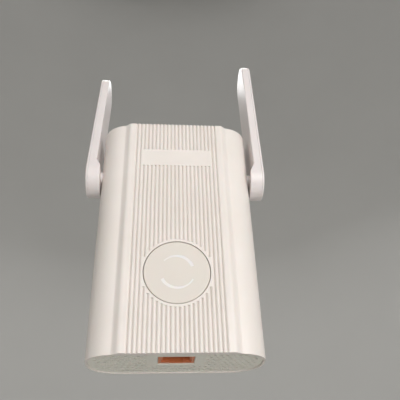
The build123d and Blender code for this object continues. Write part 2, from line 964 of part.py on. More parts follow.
def safety_capacitor():
    """The disc capacitor that bridges mains and low voltage."""
    x = power_board_half_width - disc_from_edge
    d = power_board_front_depth
    half = disc_thickness / 2
    disc = rod_z(disc_radius, x, d + disc_rise, disc_z - half, disc_z + half)
    legs = [
        rod_y(lead_radius, x + side * disc_leg_offset, disc_z, d, d + disc_rise - disc_leg_offset / 2)
        for side in (-1, 1)
    ]
    return disc + legs


def power_controller():
    """The supply's switching chip, on its eight feet."""
    d = power_board_front_depth
    half = controller_width / 2
    reach = controller_height / 2
    body = block(
        controller_x - half, controller_x + half, d + controller_lift, d + controller_top,
        controller_z - reach, controller_z + reach,
    )
    feet = []
    for column in (-1.5, -0.5, 0.5, 1.5):
        x = controller_x + column * controller_foot_pitch
        for side in (-1, 1):
            z = controller_z + side * (reach + foot_half)
            feet.append(
                block(
                    x - foot_half / 2, x + foot_half / 2, d, d + foot_rise,
                    z - 2 * foot_half, z + 2 * foot_half,
                )
            )
    return body + feet


def insulation_sheet():
    """The insulating sheet between the power supply and the main board, taped to the transformer."""
    depth = power_board_front_depth + transformer_height
    low = power_board_low_z + sheet_low_margin
    high = power_board_high_z - sheet_high_margin
    half = power_board_half_width
    return block(-half, half, depth, depth + sheet_thickness, low, high)


# ------------------------------------------------------------------ main board
def main_board():
    """The radio and processor board, just behind the front."""
    board = block(
        -main_board_half_width, main_board_half_width,
        main_board_rear_depth, main_board_front_depth,
        main_board_low_z, main_board_high_z,
    )
    board = fillet(board.edges().filter_by(Axis.Y), board_corner)
    holes = [
        rod_y(small_screw_hole_radius, x, z, main_board_rear_depth - over, main_board_front_depth + over)
        for x, z in board_post_places()
    ]
    return board - holes


def main_board_screws():
    """The main board's four small screws, driven from behind."""
    return [small_screw(x, z, main_board_rear_depth, -1) for x, z in board_post_places()]


def chip(x, z, width, height, thick):
    """A flat chip on the rear of the main board."""
    d = main_board_rear_depth
    return block(x - width / 2, x + width / 2, d - thick, d, z - height / 2, z + height / 2)


def processor():
    """The processor that drives the radios and the network socket."""
    return chip(processor_x, chip_z, processor_size, processor_size, chip_thickness)


def radio_chip():
    """The second radio's chip."""
    return chip(radio_x, chip_z, radio_size, radio_size, chip_thickness)


def memory_chip():
    """The flash memory."""
    return chip(0, heat_z_high + memory_above_sink, memory_width, memory_height, memory_thickness)


def thermal_pads():
    """The soft pads between the chips and the heat sink."""
    top = main_board_rear_depth - chip_thickness
    low = top - pad_thickness
    pads = []
    for x, size in ((processor_x, processor_size), (radio_x, radio_size)):
        half = size / 2 - pad_inset
        pads.append(block(x - half, x + half, low, top, chip_z - half, chip_z + half))
    return pads


def heat_sink():
    """The finned aluminium heat sink on the chips, with a leg at each corner."""
    face = main_board_rear_depth - chip_thickness - pad_thickness
    back = face - sink_base
    half = sink_half_width
    sink = block(-half, half, back, face, heat_z_low, heat_z_high)
    fin_reach = int((half - fin_thickness) / fin_pitch)
    fins = [
        block(
            k * fin_pitch - fin_thickness / 2, k * fin_pitch + fin_thickness / 2,
            back - fin_height, back + weld, heat_z_low, heat_z_high,
        )
        for k in range(-fin_reach, fin_reach + 1)
    ]
    legs = [
        block(x - over, x + over, face - weld, main_board_rear_depth, z - over, z + over)
        for x in (over - half, half - over)
        for z in (heat_z_low + over, heat_z_high - over)
    ]
    return sink + fins + legs


def radio_shield():
    """The tinned steel can over the radio front ends, on the front of the board."""
    low = button_z + button_hole_radius + button_flange + shield_above_button
    high = low + shield_height
    d = main_board_front_depth
    half = shield_half_width
    t = shield_sheet
    can = block(-half, half, d, d + shield_rise, low, high)
    return can - block(t - half, half - t, d - over, d + shield_rise - t, low + t, high - t)


def lan_transformer():
    """The network isolation module beside the socket, with its two rows of feet."""
    x = -jack_width / 2 - module_from_jack
    z = main_board_low_z + module_above_low
    d = main_board_rear_depth
    half = module_width / 2
    reach = module_height / 2
    body = block(x - half, x + half, d - module_thickness, d - controller_lift, z - reach, z + reach)
    feet = []
    for side in (-1, 1):
        foot_x = x + side * (half + foot_half)
        for row in range(-2, 3):
            foot_z = z + row * module_foot_pitch
            feet.append(
                block(
                    foot_x - 2 * foot_half, foot_x + 2 * foot_half, d - foot_rise, d,
                    foot_z - foot_half, foot_z + foot_half,
                )
            )
    return body + feet


def ethernet_jack():
    """The network socket's moulded housing, its mouth facing down."""
    half = jack_width / 2
    low = jack_mouth_z
    body = block(-half, half, jack_rear_depth, jack_front_depth, low, low + jack_length)
    front = jack_front_depth - jack_wall
    rear = front - jack_cavity_height
    mouth = jack_cavity_width / 2
    key = jack_key_width / 2
    top = low + jack_cavity_length
    lead = jack_lead_in
    cuts = [
        block(-mouth, mouth, rear, front, low - over, top),
        block(-key, key, rear - jack_key_depth, rear + over, low - over, top),
        block(-mouth - lead, mouth + lead, rear - lead / 2, front + lead, low - over, low + lead),
    ]
    for x in contact_places():
        slot = contact_width / 2 + joint_gap
        floor = front + jack_comb_depth
        cuts.append(block(x - slot, x + slot, front - joint_gap, floor, low + jack_wall, top))
    return body - cuts


def contact_places():
    """X of each contact in the socket."""
    return [(k - (contact_count - 1) / 2) * contact_pitch for k in range(contact_count)]


def ethernet_contacts():
    """The socket's eight gold-plated spring contacts, each a flat root and a leaning spring."""
    front = jack_front_depth - jack_wall
    low = jack_mouth_z + jack_wall + joint_gap
    back = jack_mouth_z + jack_cavity_length - contact_strip
    contacts = []
    for x in contact_places():
        left = x - contact_width / 2
        root = block(left, left + contact_width, front + 0.3, front + 0.7, low, back)
        lean = Plane.YZ * Polygon(
            (-(front + 0.5), low), (-(front + 0.1), low),
            (-(front - 1.9), back - 1), (-(front - 1.5), back - 1), align=None,
        )
        spring = Pos(left, 0, 0) * extrude(lean, amount=contact_width, dir=(1, 0, 0))
        contacts.append(root + spring)
    return contacts


def status_lights():
    """The surface-mounted lamps behind the push button's arcs."""
    d = main_board_front_depth
    r = arc_outer_radius - arc_mean_width / 2
    half = lamp_width / 2
    reach = lamp_height / 2
    lamps = []
    for turn in lamp_turns:
        x = r * math.cos(math.radians(turn))
        z = button_z + r * math.sin(math.radians(turn))
        lamps.append(block(x - half, x + half, d, d + lamp_thickness, z - reach, z + reach))
    return lamps


def switch_body():
    """The push button's switch on the main board."""
    d = main_board_front_depth
    top = d + switch_height
    half = switch_half
    body = block(-half, half, d, top, button_z - half, button_z + half)
    return body - rod_y(plunger_radius + plunger_gap, 0, button_z, d + plunger_floor, top + over)


def switch_plunger():
    """The switch's moving plunger, raised by a little more than the button's travel."""
    d = main_board_front_depth
    foot = d + plunger_floor + button_travel + 2 * plunger_gap
    return rod_y(plunger_radius, 0, button_z, foot, d + plunger_top)


def header_places():
    """X of each pin that joins the two boards."""
    return [(k + 0.5) * header_pitch for k in range(header_count)]


def header_body(d0, d1):
    """The moulded bar round the pins, between two depths."""
    end = header_count * header_pitch + header_bar_margin
    return block(-header_bar_margin, end, d0, d1, header_z - header_bar_half, header_z + header_bar_half)


def board_header():
    """The pin row that joins the power supply to the main board."""
    low = power_board_rear_depth - header_tail
    high = main_board_rear_depth - header_end_gap
    half = header_pin_half
    pins = [
        block(x - half, x + half, low, high, header_z - half, header_z + half)
        for x in header_places()
    ]
    return header_body(power_board_front_depth, power_board_front_depth + header_bar_height) + pins


def header_socket():
    """The socket under the main board that the pin row enters."""
    d = main_board_rear_depth
    half = header_hole_half
    mouth = d - header_hole_floor - header_hole_depth
    holes = [
        block(x - half, x + half, mouth, d - header_hole_floor, header_z - half, header_z + half)
        for x in header_places()
    ]
    return header_body(d - socket_bar_height, d) - holes


# ------------------------------------------------------------------ push button
def arc_piece(start, end, toward, depth0, depth1):
    """One tapered arc, centred on the button, wider towards one end."""
    inner_radius = arc_outer_radius - arc_mean_width
    outer = rod_y(arc_outer_radius, 0, button_z, depth0, depth1)
    inner = rod_y(inner_radius, -toward * arc_taper, button_z, depth0 - over, depth1 + over)
    reach = arc_outer_radius * 3
    corners = [(0, 0)]
    for turn in (start, (start + end) / 2, end):
        angle = math.radians(turn)
        corners.append((reach * math.cos(angle), reach * math.sin(angle)))
    wedge = Plane.XZ * Polygon(corners[0], corners[1], corners[2], corners[3], align=None)
    slab = extrude(wedge, amount=depth1 + over)
    return (outer - inner) & (Pos(0, 0, button_z) * slab)


def status_arcs(depth0, depth1):
    """Both translucent arcs of the button's face."""
    return [arc_piece(*upper_arc, 1, depth0, depth1), arc_piece(*lower_arc, -1, depth0, depth1)]


def button_cap():
    """The round push button, with its retaining flange and the stem over the switch."""
    plate_back = body_depth - button_plate
    flange_front = panel_inner_depth - button_flange_gap
    flange_back = flange_front - button_flange_thickness
    plate = rod_y(button_radius, 0, button_z, plate_back, body_depth)
    edge = plate.edges().filter_by(GeomType.CIRCLE).sort_by(Axis.Y)[0]
    plate = fillet(edge, button_edge_radius)
    skirt = rod_y(button_radius, 0, button_z, flange_back, plate_back)
    flange = rod_y(button_hole_radius + button_flange, 0, button_z, flange_back, flange_front)
    hollow = rod_y(button_radius - button_skirt_wall, 0, button_z, 0, body_depth)
    stem = rod_y(stem_radius, 0, button_z, main_board_front_depth + plunger_top, plate_back + over)
    cap = plate + ((skirt + flange) - hollow) + stem
    return cap - status_arcs(body_depth - arc_depth, body_depth + over)


def light_arcs():
    """The arcs themselves, set flush in the button's face."""
    return status_arcs(body_depth - arc_depth, body_depth)


# ------------------------------------------------------------------ antennas
def blade_face(inset):
    """The antenna's side outline, round at both ends, moved inwards by inset."""
    outline = SlotCenterToCenter(blade_length, 2 * (blade_radius - inset))
    return Pos(0, blade_length / 2, 0) * (Rot(0, 0, 90) * outline)


def blade_solid(inset, x0, x1):
    """The antenna's outline in the plane of the casing's side, pushed from x0 to x1."""
    face = Plane.YZ * blade_face(inset)
    low = min(x0, x1)
    return Pos(low, 0, 0) * extrude(face, amount=abs(x1 - x0), dir=(1, 0, 0))


def at_hinge(shape, side):
    """Moves an antenna piece, drawn round its own axis, to its hinge at its rest tilt."""
    tilt = tilt_back_left if side < 0 else tilt_back_right
    placed = Pos(0, -hinge_from_back, hinge_z) * (Rot(-tilt, 0, 0) * shape)
    return placed


def axle(radius, x0, x1):
    """A cylinder on the antenna's own axis, between two X values."""
    return Pos((x0 + x1) / 2, 0, 0) * (Rot(0, 90, 0) * Cylinder(radius, abs(x1 - x0)))


def hub_block():
    """The thick foot of the antenna, with its sloping step up to the thin blade."""
    solid = blade_solid(0, hub_face_x, blade_inner_x + weld)
    top = blade_length + 2 * blade_radius
    cutter = Plane.XZ * Polygon(
        (hub_face_x - over, hub_step_start - over * hub_step_run / hub_step),
        (blade_inner_x, hub_step_start + hub_step_run),
        (blade_inner_x, top),
        (hub_face_x - over, top),
        align=None,
    )
    wedge = Pos(0, 2 * blade_radius, 0) * extrude(cutter, amount=4 * blade_radius, dir=(0, -1, 0))
    return solid - wedge


def antenna_inner(side):
    """The antenna's inner shell with its hub and the hollow spigot that it turns on."""
    shell = blade_solid(0, blade_inner_x, lid_x) + hub_block()
    shell = soften(shell)
    shell = shell - blade_solid(antenna_wall, blade_inner_x + antenna_wall, lid_x + over)
    spigot_end = clip_x - spigot_end_wall
    shell = shell + axle(spigot_radius, spigot_end, hub_face_x + weld)
    shell = shell - axle(spigot_bore_radius, spigot_end - over, lid_x + over)
    ring = axle(spigot_radius + over, clip_x - clip_fit, clip_x + clip_thickness + clip_fit)
    ring = ring - axle(spigot_radius - clip_groove_depth, clip_x - over, clip_x + clip_thickness + over)
    shell = shell - ring
    if side < 0:
        shell = mirror_x(shell)
    return at_hinge(shell, side)


def soften(shell):
    """Rounds the long inner edges of the antenna's blade lightly, above its hub."""
    step_top = hub_step_start + hub_step_run
    near = blade_inner_x - joint_gap
    edges = shell.edges().filter_by_position(Axis.X, near, blade_inner_x + joint_gap)
    edges = [edge for edge in edges if edge.center().Z > step_top + weld]
    return fillet(edges, antenna_inner_edge)


def antenna_outer(side):
    """The antenna's outer lid, with rounded edges, shut onto the inner shell by a lip."""
    lid = blade_solid(0, lid_x + joint_gap, blade_outer_x)
    near = blade_outer_x - joint_gap / 2
    edges = lid.edges().filter_by_position(Axis.X, near, blade_outer_x + joint_gap / 2)
    lid = fillet(edges, antenna_edge)
    lip_inset = antenna_wall + antenna_lip_gap
    lip = blade_solid(lip_inset, lid_x - antenna_lip_height, lid_x + weld)
    lip = lip - blade_solid(lip_inset + antenna_lip_wall, lid_x - antenna_wall, lid_x + over)
    lid = lid + lip
    if side < 0:
        lid = mirror_x(lid)
    return at_hinge(lid, side)


def antenna_element(side):
    """The printed radiator board inside the antenna."""
    low = -element_below_hinge
    high = blade_length + blade_radius - element_end_gap
    board = Box(element_thickness, element_width, high - low)
    board = Pos(element_x + element_thickness / 2, 0, (low + high) / 2) * board
    board = fillet(board.edges().filter_by(Axis.X), element_corner)
    far = element_x + element_thickness + over
    board = board - axle(coax_radius + coax_hole_gap, element_x - over, far)
    if side < 0:
        board = mirror_x(board)
    return at_hinge(board, side)


def hinge_clip(side):
    """The split ring that snaps into the spigot's groove."""
    far = clip_x + clip_thickness
    outer = axle(spigot_radius + clip_width, clip_x, far)
    inner = axle(spigot_radius - clip_groove_depth + clip_fit, clip_x - over, far + over)
    slot = Box(clip_thickness + over, clip_opening, 2 * spigot_radius + over)
    clip = outer - inner - Pos(clip_x + clip_thickness / 2, 0, -spigot_radius) * slot
    if side < 0:
        clip = mirror_x(clip)
    return at_hinge(clip, side)


def friction_washer(side):
    """The washer whose grip holds the antenna where it is set."""
    near = side * (clip_x + clip_thickness + washer_gap / 2)
    far = near + side * washer_thickness
    ring = rod_x(spigot_radius + clip_width, hinge_from_back, hinge_z, near, far)
    bore_radius = spigot_radius + washer_bore_gap
    bore = rod_x(bore_radius, hinge_from_back, hinge_z, near - side * over, far + side * over)
    return ring - bore


def coax_plug_x():
    """X of the lead's connector on the main board."""
    return main_board_half_width - coax_plug_from_edge


def coax_lead(side):
    """The antenna lead, from the main board through the hollow spigot to the radiator board."""
    depth = main_board_rear_depth - coax_exit_height
    low = hinge_z - coax_plug_below_hinge
    start_x = coax_plug_x() + coax_plug_radius
    path = FilletPolyline(
        (side * start_x, -depth, low),
        (side * (coax_plug_x() + 2 * coax_bend + coax_plug_radius), -depth, low),
        (side * (boss_inner_x - coax_bend - clip_room_length / 2), -hinge_from_back, hinge_z),
        (side * (element_x - coax_end_gap), -hinge_from_back, hinge_z),
        radius=coax_bend,
    )
    start = Plane(origin=path @ 0, z_dir=path % 0)
    return sweep(start * Circle(coax_radius), path=path)


def coax_plug(side):
    """The small round connector that joins the lead to the main board."""
    x = coax_plug_x()
    z = hinge_z - coax_plug_below_hinge
    d = main_board_rear_depth
    body = rod_y(coax_plug_radius, side * x, z, d - coax_plug_height, d)
    neck = rod_x(coax_neck_radius, d - coax_exit_height, z, side * x, side * (x + coax_plug_radius))
    return body + neck


# ------------------------------------------------------------------ the whole object
def pieces():
    """Every piece of the extender, by node name."""
    tube = casing()
    made = {
        "front_shell": front_shell(tube),
        "rear_shell": rear_shell(tube),
        "bottom_vent_cap": end_cap(bottom_z + cap_recess, bottom_cap_inner_z, True),
        "top_vent_cap": end_cap(top_z - cap_recess, top_cap_inner_z, False),
        "rating_label": rating_label(),
        "shell_screws": shell_screws(),
        "plug_insert": plug_insert(),
        "power_board": power_board(),
        "power_board_screws": power_board_screws(),
        "transformer_core": transformer_core(),
        "transformer_winding": transformer_winding(),
        "transformer_bobbin": transformer_bobbin(),
        "input_capacitors": input_capacitors(),
        "output_capacitor": output_capacitor(),
        "rectifier": rectifier(),
        "input_fuse": input_fuse(),
        "safety_capacitor": safety_capacitor(),
        "power_controller": power_controller(),
        "insulation_sheet": insulation_sheet(),
        "main_board": main_board(),
        "main_board_screws": main_board_screws(),
        "processor": processor(),
        "radio_chip": radio_chip(),
        "memory_chip": memory_chip(),
        "thermal_pads": thermal_pads(),
        "heat_sink": heat_sink(),
        "radio_shield": radio_shield(),
        "lan_transformer": lan_transformer(),
        "ethernet_jack": ethernet_jack(),
        "ethernet_contacts": ethernet_contacts(),
        "status_lights": status_lights(),
        "switch_body": switch_body(),
        "switch_plunger": switch_plunger(),
        "board_header": board_header(),
        "header_socket": header_socket(),
        "button_cap": button_cap(),
        "light_arcs": light_arcs(),
    }
    for word, side in (("left", -1), ("right", 1)):
        made[f"plug_pin_{word}"] = plug_pin(side)
        made[f"pin_contact_{word}"] = pin_contact(side)
        made[f"antenna_inner_{word}"] = antenna_inner(side)
        made[f"antenna_outer_{word}"] = antenna_outer(side)
        made[f"antenna_element_{word}"] = antenna_element(side)
        made[f"hinge_clip_{word}"] = hinge_clip(side)
        made[f"friction_washer_{word}"] = friction_washer(side)
        made[f"coax_lead_{word}"] = coax_lead(side)
        made[f"coax_plug_{word}"] = coax_plug(side)
    return made


def solids_of(shape):
    """The separate solids of a piece, whether it is one shape or a list of shapes."""
    shapes = shape if isinstance(shape, (list, tuple)) else [shape]
    return [solid for one in shapes for solid in one.solids()]


os.makedirs("parts", exist_ok=True)
for name, shape in pieces().items():
    group = solids_of(shape)
    body = group[0] if len(group) == 1 else Compound(children=group)
    export_step(body, f"parts/{name}.step")
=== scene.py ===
import math

import bpy
import bmesh
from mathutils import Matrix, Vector


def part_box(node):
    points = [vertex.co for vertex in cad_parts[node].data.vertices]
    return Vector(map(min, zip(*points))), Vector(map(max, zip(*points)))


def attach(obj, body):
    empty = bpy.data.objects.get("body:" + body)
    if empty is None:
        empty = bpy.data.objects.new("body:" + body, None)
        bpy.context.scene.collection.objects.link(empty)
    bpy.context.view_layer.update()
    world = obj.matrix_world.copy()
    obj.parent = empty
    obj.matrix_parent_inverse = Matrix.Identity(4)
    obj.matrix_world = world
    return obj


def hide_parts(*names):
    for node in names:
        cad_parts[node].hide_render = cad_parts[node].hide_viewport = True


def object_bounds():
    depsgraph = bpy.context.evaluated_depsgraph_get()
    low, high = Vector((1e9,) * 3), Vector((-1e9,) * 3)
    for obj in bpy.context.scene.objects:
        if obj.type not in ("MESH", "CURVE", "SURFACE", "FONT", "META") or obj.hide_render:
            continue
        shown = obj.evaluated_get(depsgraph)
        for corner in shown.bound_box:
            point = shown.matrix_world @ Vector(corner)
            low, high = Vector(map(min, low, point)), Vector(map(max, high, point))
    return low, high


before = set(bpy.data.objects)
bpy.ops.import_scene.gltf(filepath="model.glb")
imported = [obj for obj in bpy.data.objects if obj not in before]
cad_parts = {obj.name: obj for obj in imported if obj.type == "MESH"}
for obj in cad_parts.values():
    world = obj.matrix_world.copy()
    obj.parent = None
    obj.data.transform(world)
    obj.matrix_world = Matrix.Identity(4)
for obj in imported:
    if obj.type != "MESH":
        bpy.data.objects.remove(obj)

bl_info = {
    "name": "Wall-plug mesh node",
    "version": (1, 0, 0),
    "blender": (4, 5, 0),
    "location": "View3D > Sidebar > Mesh node",
    "description": "Finishes a wall-plug wireless node: casing, button, antennas, plug, port and boards",
    "category": "Object",
}

MM = 0.001
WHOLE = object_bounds()
CONTACTS = 8
CONTACT_SHARE = 0.44  # a contact's width as a share of the pitch from one to the next
WIRE_SIDES = 12
WIRE_BEND = 2.2  # radius of a contact spring's bend, in radii of its wire
WIRE_BEND_STEPS = 10
WIRE_REACH = 0.85  # height of the sprung back part, as a share of the contacts' height
WIRE_MERGE_PARTS = 50  # points closer than the wire's radius over this become one
WIRE_SMOOTH_ANGLE = math.radians(50)

TONE_DRIFT_MM = 22.0
SMEAR_MM = 9.0
# Dust and painted shade in recesses: how far the occlusion reaches, the size of the dust specks, and the
# darker colour mixed in.
DUST_AND_SHADE_REACH_MM = 1.6
DUST_AND_SHADE_SPECK_MM = 1.1
DUST_AND_SHADE_COLOUR = "#a3a19b"

BACKDROP_SIDES = 96
BACKDROP_BEND = 0.5
BACKDROP_BEND_STEPS = 12
BACKDROP_WALL = 2.6
BACKDROP_SMOOTH_ANGLE = math.radians(60)
RIM_MARGIN = 1e-4
LAMP_COLOUR = "#ffffff"
SKY_COLOUR = "#f2f3f5"
# Each light's name, place, size in metres, and the setting that holds its power.
LIGHTS = [
    ("key_light", (0.36, -0.90, -0.16), 0.95, "key_power"),
    ("fill_light", (-0.5, -0.8, 0.45), 0.7, "fill_power"),
    ("top_light", (0.0, 0.0, 2.4), 2.0, "top_power"),
    ("back_light", (0.0, 0.55, 1.1), 0.6, "back_power"),
]
SENSOR_MM = 36.0
CAMERA_NEAR = 0.01
CAMERA_FAR = 20.0


# ---------------------------------------------------------------- colours and nodes
def linear(hex_colour):
    """An sRGB hex colour as linear red, green, blue and alpha."""
    parts = [int(hex_colour[i:i + 2], 16) / 255 for i in (1, 3, 5)]
    return tuple(c / 12.92 if c <= 0.04045 else ((c + 0.055) / 1.055) ** 2.4 for c in parts) + (1.0,)


def add(tree, kind, inputs=None, **settings):
    """Adds a shader node, sets its own settings and fills its inputs with values or links."""
    node = tree.nodes.new("ShaderNode" + kind)
    for name, value in settings.items():
        setattr(node, name, value)
    for name, value in (inputs or {}).items():
        if isinstance(value, bpy.types.NodeSocket):
            tree.links.new(value, node.inputs[name])
        else:
            node.inputs[name].default_value = value
    return node


def per_metre(millimetres):
    """A texture's scale, from the real size of one of its features."""
    return 1.0 / (millimetres * MM)


def start(name, roughness, **constant):
    """A new material with one shader, whose unlinked sockets are set from the constants."""
    material = bpy.data.materials.new(name)
    material.use_nodes = True
    tree = material.node_tree
    tree.nodes.clear()
    shader = add(tree, "BsdfPrincipled", {"Roughness": roughness})
    for socket, value in constant.items():
        shader.inputs[socket.replace("_", " ")].default_value = value
    output = add(tree, "OutputMaterial", {"Surface": shader.outputs[0]})
    output.is_active_output = True
    place = add(tree, "TexCoord").outputs["Object"]
    return material, tree, shader, place


def drift(tree, place, colour_a, colour_b, size_mm, low=0.35, high=0.7):
    """A slow change between two colours, as resin and plating have across a piece."""
    noise = add(tree, "TexNoise", {"Vector": place, "Scale": per_metre(size_mm), "Detail": 3.0})
    ramp = add(tree, "ValToRGB", {"Fac": noise.outputs["Fac"]})
    ramp.color_ramp.elements[0].position = low
    ramp.color_ramp.elements[0].color = colour_a
    ramp.color_ramp.elements[1].position = high
    ramp.color_ramp.elements[1].color = colour_b
    return ramp.outputs["Color"]


def spread(tree, value, low, high):
    """A 0 to 1 value moved into the range from low to high."""
    node = add(tree, "MapRange", {"Value": value, "To Min": low, "To Max": high})
    return node.outputs["Result"]


def soften_edges(tree, radius_mm):
    """The small radius that a mould or a tumbler leaves on every edge."""
    return add(tree, "Bevel", {"Radius": radius_mm * MM}, samples=6).outputs["Normal"]


def relief(tree, height, depth_mm, strength, normal):
    """Bumps of a real depth on top of a normal."""
    bump = add(
        tree, "Bump", {"Height": height, "Distance": depth_mm * MM, "Strength": strength, "Normal": normal})
    return bump.outputs["Normal"]


def paint(names, material):
    """Gives CAD nodes, or pieces, their material."""
    for item in names:
        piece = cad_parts[item] if isinstance(item, str) else item
        piece.data.materials.clear()
        piece.data.materials.append(material)


# ---------------------------------------------------------------- plastics
def moulded_plastic(name, colour, shade, grain_mm, grain_depth_mm, roughness, edge_mm, dust_and_shade=0.0, **constant):
    """Injection-moulded plastic: a slow drift of tone, the mould's fine grain and softened edges."""
    material, tree, shader, place = start(name, roughness, **constant)
    tone = drift(tree, place, linear(shade), linear(colour), TONE_DRIFT_MM)
    # Dust and painted shade: where ambient occlusion finds a recess, a darker colour is mixed into the tone,
    # broken up by dust specks.
    if dust_and_shade:
        crevice = add(tree, "AmbientOcclusion", {"Distance": DUST_AND_SHADE_REACH_MM * MM}, samples=6, only_local=True)
        speck = add(tree, "TexNoise", {"Vector": place, "Scale": per_metre(DUST_AND_SHADE_SPECK_MM), "Detail": 4.0})
        depth = add(tree, "Math", {0: 1.0, 1: crevice.outputs["AO"]}, operation="SUBTRACT")
        amount = add(tree, "Math", {0: depth.outputs[0], 1: speck.outputs["Fac"]}, operation="MULTIPLY")
        share = add(tree, "Math", {0: amount.outputs[0], 1: dust_and_shade}, operation="MULTIPLY", use_clamp=True)
        mixed = add(
            tree, "MixRGB", {"Fac": share.outputs[0], "Color1": tone, "Color2": linear(DUST_AND_SHADE_COLOUR)})
        tone = mixed.outputs["Color"]
    tree.links.new(tone, shader.inputs["Base Color"])
    grain = add(
        tree, "TexNoise", {"Vector": place, "Scale": per_metre(grain_mm), "Detail": 2.0, "Roughness": 0.6})
    smear = add(
        tree, "TexNoise", {"Vector": place, "Scale": per_metre(SMEAR_MM), "Detail": 5.0, "Roughness": 0.65})
    gloss = spread(tree, smear.outputs["Fac"], roughness - 0.06, roughness + 0.07)
    tree.links.new(gloss, shader.inputs["Roughness"])
    normal = relief(tree, grain.outputs["Fac"], grain_depth_mm, 0.5, soften_edges(tree, edge_mm))
    tree.links.new(normal, shader.inputs["Normal"])
    return material


def casing_abs(settings):
    # Moulded white ABS with a satin spark grain: broad soft highlights, a faint warm cast, and dust with
    # painted shade in the grooves. The real grain is about 0.1 mm across; it is drawn at 0.35 mm so that it
    # shows.
    return moulded_plastic(
        "moulded_white_abs", settings.colour, settings.shade, settings.grain, 0.012, settings.roughness, 0.22,
        dust_and_shade=settings.dust_and_shade, IOR=1.53, Subsurface_Weight=0.06, Subsurface_Scale=0.6 * MM,
    )


def cap_abs():
    # The end caps are the same resin, moulded thinner and a little yellower, with sharp vents.
    return moulded_plastic(
        "vent_cap_abs", "#e8e5da", "#e3e0d5", 0.4, 0.01, 0.42, 0.1,
        # The vents' recesses are darkened with dust and painted shade.
        dust_and_shade=0.1, IOR=1.53, Subsurface_Weight=0.05, Subsurface_Scale=0.6 * MM,
    )


def antenna_abs(settings):
    # The antennas are moulded on their own in a cooler white, more polished, with a soft sheen along their
    # edges.
    return moulded_plastic(
        "antenna_white_abs", settings.colour, settings.shade, 0.35, 0.007, settings.roughness, 0.35,
        IOR=1.53, Subsurface_Weight=0.06, Subsurface_Scale=0.7 * MM,
    )


def button_abs(settings):
    # The push button is finely grained so that fingers leave it matt: an even, soft white.
    return moulded_plastic(
        "button_white_abs", settings.colour, settings.shade, 0.3, 0.01, settings.roughness, 0.25,
        IOR=1.53, Subsurface_Weight=0.08, Subsurface_Scale=0.8 * MM,
    )


def arc_polycarbonate(settings):
    # Milky polycarbonate light guides: slightly clearer and glossier than the button round them.
    return moulded_plastic(
        "milky_polycarbonate", settings.arc_colour, settings.arc_colour, 0.5, 0.003, 0.24, 0.08,
        IOR=1.58, Subsurface_Weight=0.35, Subsurface_Scale=1.2 * MM,
    )


def plug_polyamide(settings):
    # Glass-filled polyamide of the plug body: duller than the casing, with short fibre flecks under the skin.
    return moulded_plastic(
        "glass_filled_polyamide", settings.body_colour, "#cfcbc3", 0.5, 0.014, 0.5, 0.3,
        # Its recesses are darkened with dust and painted shade.
        dust_and_shade=0.3, IOR=1.53,
    )


def black_moulding(name, colour, roughness):
    # Black epoxy or phenolic moulding: nearly matt, with a fine sandy skin.
    return moulded_plastic(name, colour, "#141415", 0.25, 0.02, roughness, 0.08, IOR=1.55)


def socket_plastic(settings):
    # Orange PBT of the network socket: a saturated, slightly waxy thermoplastic.
    return moulded_plastic(
        "orange_pbt", settings.colour, settings.shade, 0.4, 0.01, 0.36, 0.12,
        IOR=1.55, Subsurface_Weight=0.12, Subsurface_Scale=0.9 * MM,
    )


def sleeve_pvc():
    # Heat-shrunk sleeve of a capacitor: dark, glossy, with slight ripples where it shrank.
    material, tree, shader, place = start("shrink_sleeve", 0.3, IOR=1.52)
    tone = drift(tree, place, linear("#12131d"), linear("#1d2130"), 6.0)
    tree.links.new(tone, shader.inputs["Base Color"])
    ripple = add(tree, "TexNoise", {"Vector": place, "Scale": per_metre(1.4), "Detail": 2.0})
    normal = relief(tree, ripple.outputs["Fac"], 0.04, 0.5, soften_edges(tree, 0.3))
    tree.links.new(normal, shader.inputs["Normal"])
    return material


def winding_tape():
    # Yellow polyester tape round the transformer: glossy, with the lapped edges of its turns.
    material, tree, shader, place = start("polyester_winding_tape", 0.28, IOR=1.6, Coat_Weight=0.4)
    tone = drift(tree, place, linear("#c99a24"), linear("#e0b23a"), 5.0)
    tree.links.new(tone, shader.inputs["Base Color"])
    laps = add(tree, "TexWave", {"Vector": place, "Scale": per_metre(6.0), "Distortion": 0.6, "Detail": 1.0})
    normal = relief(tree, laps.outputs["Fac"], 0.06, 0.4, soften_edges(tree, 0.25))
    tree.links.new(normal, shader.inputs["Normal"])
    return material


def insulating_film():
    # Clear polyester film: thin, a little milky, with a smooth bright surface.
    material, tree, shader, place = start("polyester_film", 0.15, IOR=1.6, Alpha=0.45)
    tone = drift(tree, place, linear("#dcdccb"), linear("#e8e8da"), 12.0)
    tree.links.new(tone, shader.inputs["Base Color"])
    wave = add(tree, "TexNoise", {"Vector": place, "Scale": per_metre(8.0), "Detail": 1.0})
    normal = relief(tree, wave.outputs["Fac"], 0.1, 0.3, soften_edges(tree, 0.05))
    tree.links.new(normal, shader.inputs["Normal"])
    return material


def silicone_pad():
    # Gap-filling silicone: soft, blue-grey and dead matt, with filler specks.
    material, tree, shader, place = start("silicone_gap_pad", 0.85, IOR=1.42)
    speck = add(tree, "TexVoronoi", {"Vector": place, "Scale": per_metre(0.4)})
    ramp = add(tree, "ValToRGB", {"Fac": speck.outputs["Distance"]})
    ramp.color_ramp.elements[0].color = linear("#8fa2b4")
    ramp.color_ramp.elements[1].color = linear("#76899c")
    tree.links.new(ramp.outputs["Color"], shader.inputs["Base Color"])
    normal = relief(tree, speck.outputs["Distance"], 0.02, 0.4, soften_edges(tree, 0.2))
    tree.links.new(normal, shader.inputs["Normal"])
    return material


def label_vinyl():
    # The rating label, left blank: matt vinyl with a faint fibrous tooth.
    material, tree, shader, place = start("blank_label_vinyl", 0.55, IOR=1.5)
    tone = drift(tree, place, linear("#c4c3bf"), linear("#cfceca"), 10.0)
    tree.links.new(tone, shader.inputs["Base Color"])
    fibre = add(tree, "TexNoise", {"Vector": place, "Scale": per_metre(0.5), "Detail": 3.0})
    normal = relief(tree, fibre.outputs["Fac"], 0.006, 0.4, soften_edges(tree, 0.05))
    tree.links.new(normal, shader.inputs["Normal"])
    return material


